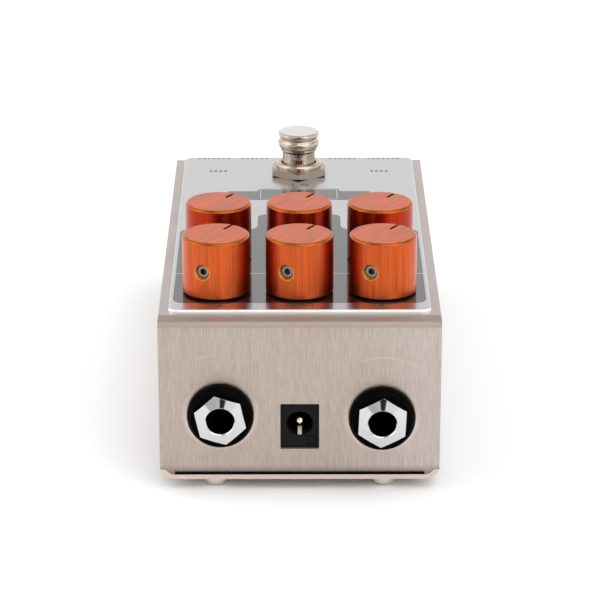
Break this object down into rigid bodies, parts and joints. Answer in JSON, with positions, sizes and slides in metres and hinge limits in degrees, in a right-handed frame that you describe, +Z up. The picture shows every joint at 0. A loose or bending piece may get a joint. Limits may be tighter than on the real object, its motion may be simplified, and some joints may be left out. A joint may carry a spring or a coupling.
{
  "type": "guitar effects pedal",
  "caption": "Compact effects pedal: bent steel case on dome screws, turned knobs on a sloping faceplate, a push foot switch, two 6.35 mm jack sockets and a DC socket.",
  "frame": {"origin": "on the surface it stands on, under the centre of its overall footprint, from the socket nuts to the front panel", "axes": "+X to the right as seen from the socket side, +Y from the sockets towards the foot switch, +Z up"},
  "size_m": [0.066, 0.1334, 0.0578],
  "materials": {
    "brushed_case": "vertically brushed stainless sheet",
    "faceplate_metal": "satin silver plate with a gloss black panel",
    "dome_screws": "bright dome heads",
    "plain_steel": "zinc-plated",
    "bright_nickel": "bright nickel plate",
    "jack_chrome": "polished chrome plate",
    "gloss_black": "glossy black moulding",
    "socket_black": "black moulding",
    "socket_contact": "plated contact metal",
    "switch_blue": "blue moulding",
    "lamp_lens": "red diffusing lens",
    "circuit_board": "green solder mask",
    "ribbon_grey": "grey ribbon",
    "capacitor_sleeve": "printed sleeve",
    "film_red": "dipped box",
    "chip_black": "moulded package",
    "orange_anodised": "orange anodised, fine-turned side and brushed top",
    "set_screw_steel": "plated steel",
    "shaft_steel": "turned",
    "pot_moulding": "moulded body"
  },
  "bodies": {
    "chassis": {"amplifier_chips": "chip_black", "base_screws": "dome_screws", "base_tray": "brushed_case", "board_ribbon": "ribbon_grey", "clinch_nuts": "plain_steel", "dc_socket_body": "socket_black", "dc_socket_contact": "socket_contact", "dc_socket_pin": "socket_contact", "electrolytic_capacitors": "capacitor_sleeve", "faceplate": "faceplate_metal", "film_capacitors": "film_red", "footswitch_body": "switch_blue", "footswitch_bushing": "bright_nickel", "footswitch_lock_nut": "plain_steel", "footswitch_lugs": "socket_contact", "footswitch_nut": "bright_nickel", "footswitch_spring": "plain_steel", "jack_board": "circuit_board", "jack_board_spacers": "plain_steel", "jack_body_left": "gloss_black", "jack_body_right": "gloss_black", "jack_collar_left": "gloss_black", "jack_collar_right": "gloss_black", "jack_contact_left": "socket_contact", "jack_contact_right": "socket_contact", "jack_nut_left": "jack_chrome", "jack_nut_right": "jack_chrome", "led_bezel": "bright_nickel", "main_board": "circuit_board", "pot_body_front_left": "pot_moulding", "pot_body_front_middle": "pot_moulding", "pot_body_front_right": "pot_moulding", "pot_body_rear_left": "pot_moulding", "pot_body_rear_middle": "pot_moulding", "pot_body_rear_right": "pot_moulding", "pot_nuts": "plain_steel", "pot_washers": "plain_steel", "status_led": "lamp_lens", "switch_ribbon": "ribbon_grey", "top_cover": "brushed_case"},
    "knob_rear_left": {"knob_rear_left": "orange_anodised", "set_screw_rear_left": "set_screw_steel", "pot_shaft_rear_left": "shaft_steel"},
    "knob_rear_middle": {"knob_rear_middle": "orange_anodised", "set_screw_rear_middle": "set_screw_steel", "pot_shaft_rear_middle": "shaft_steel"},
    "knob_rear_right": {"knob_rear_right": "orange_anodised", "set_screw_rear_right": "set_screw_steel", "pot_shaft_rear_right": "shaft_steel"},
    "knob_front_left": {"knob_front_left": "orange_anodised", "set_screw_front_left": "set_screw_steel", "pot_shaft_front_left": "shaft_steel"},
    "knob_front_middle": {"knob_front_middle": "orange_anodised", "set_screw_front_middle": "set_screw_steel", "pot_shaft_front_middle": "shaft_steel"},
    "knob_front_right": {"knob_front_right": "orange_anodised", "set_screw_front_right": "set_screw_steel", "pot_shaft_front_right": "shaft_steel"},
    "footswitch": {"footswitch_button": "bright_nickel"}
  },
  "joints": [
    {"name": "knob_rear_left_turn", "type": "hinge", "parent": "chassis", "child": "knob_rear_left", "pos_m": [-0.0197, -0.0436, 0.04312], "axis": [0, -0.0523, -0.9986], "range_deg": [0, 300]},
    {"name": "knob_rear_middle_turn", "type": "hinge", "parent": "chassis", "child": "knob_rear_middle", "pos_m": [0, -0.0436, 0.04312], "axis": [0, -0.0523, -0.9986], "range_deg": [0, 300]},
    {"name": "knob_rear_right_turn", "type": "hinge", "parent": "chassis", "child": "knob_rear_right", "pos_m": [0.0197, -0.0436, 0.04312], "axis": [0, -0.0523, -0.9986], "range_deg": [0, 300]},
    {"name": "knob_front_left_turn", "type": "hinge", "parent": "chassis", "child": "knob_front_left", "pos_m": [-0.0197, -0.019, 0.04183], "axis": [0, -0.0523, -0.9986], "range_deg": [0, 300]},
    {"name": "knob_front_middle_turn", "type": "hinge", "parent": "chassis", "child": "knob_front_middle", "pos_m": [0, -0.019, 0.04183], "axis": [0, -0.0523, -0.9986], "range_deg": [0, 300]},
    {"name": "knob_front_right_turn", "type": "hinge", "parent": "chassis", "child": "knob_front_right", "pos_m": [0.0197, -0.019, 0.04183], "axis": [0, -0.0523, -0.9986], "range_deg": [0, 300]},
    {"name": "footswitch_press", "type": "slide", "parent": "chassis", "child": "footswitch", "axis": [0, -0.0523, -0.9986], "range_m": [0, 0.0028], "stiffness_N_per_m": 1500, "springref_m": -0.002, "deforming": ["footswitch_spring"]}
  ]
}
